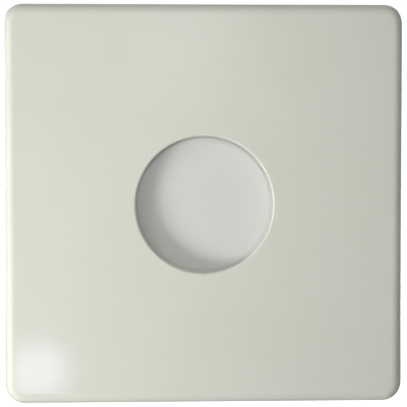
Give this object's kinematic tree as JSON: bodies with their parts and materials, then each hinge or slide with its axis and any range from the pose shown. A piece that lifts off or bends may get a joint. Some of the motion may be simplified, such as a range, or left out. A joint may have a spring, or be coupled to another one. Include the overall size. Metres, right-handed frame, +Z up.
{
  "type": "concealed sidewall fire sprinkler with square trim plate",
  "caption": "Concealed sidewall fire sprinkler: a square pressed trim plate whose round opening shows a recessed drop-away cover, with cup, brass body, glass bulb and deflector behind.",
  "frame": {"origin": "on the waterway axis, in the plane of the pipe fitting's face when the inlet thread is made up by hand; the wall face is 57 mm in front of it, at y = -0.057", "axes": "+Z up; -Y out of the wall into the room, so the trim plate faces -Y; +Y along the waterway towards the pipe; +X to the right seen from the room"},
  "size_m": [0.165, 0.0751, 0.165],
  "materials": {
    "plate_paint": "glossy off-white powder coat",
    "cover_paint": "satin white paint",
    "retainer_paint": "satin white paint",
    "zinc": "zinc plated, dull",
    "spring_steel": "bare stainless spring",
    "brass": "turned, slightly tarnished",
    "bronze": "bronze, satin",
    "tab_brass": "thin rolled brass",
    "solder": "dull fusible solder",
    "bulb_glass": "clear glass with red liquid"
  },
  "bodies": {
    "sprinkler": {"sprinkler_body": "brass", "support_cup": "zinc", "cup_locknut": "brass", "guide_pin_housing": "bronze", "saddle": "brass", "compression_screw": "brass", "glass_bulb": "bulb_glass", "seal_cap": "bronze", "spring_seal": "spring_steel"},
    "retainer": {"trim_retainer": "retainer_paint", "snap_ring": "spring_steel", "solder_tabs": "tab_brass", "solder_beads": "solder", "ejector_spring": "spring_steel"},
    "plate": {"trim_plate": "plate_paint", "plate_hub": "zinc"},
    "cover": {"cover_disc": "cover_paint"},
    "deflector": {"deflector": "brass", "guide_pins": "spring_steel", "pin_clips": "spring_steel"}
  },
  "joints": [
    {"name": "trim_adjust", "type": "slide", "parent": "sprinkler", "child": "retainer", "axis": [0, -1, 0], "range_m": [0, 0.0095]},
    {"name": "plate_turn", "type": "hinge", "parent": "retainer", "child": "plate", "pos_m": [0, -0.057, 0], "axis": [0, -1, 0], "range_deg": [-45, 45]},
    {"name": "cover_tip", "type": "hinge", "parent": "retainer", "child": "cover", "pos_m": [0, -0.067, -0.03], "axis": [1, 0, 0], "range_deg": [0, 150]},
    {"name": "deflector_drop", "type": "slide", "parent": "sprinkler", "child": "deflector", "axis": [0, -1, 0], "range_m": [0, 0.0215]}
  ],
  "couplings": [
    {"joint": "deflector_drop", "follows": "cover_tip", "m_per_rad": 0.0082}
  ]
}
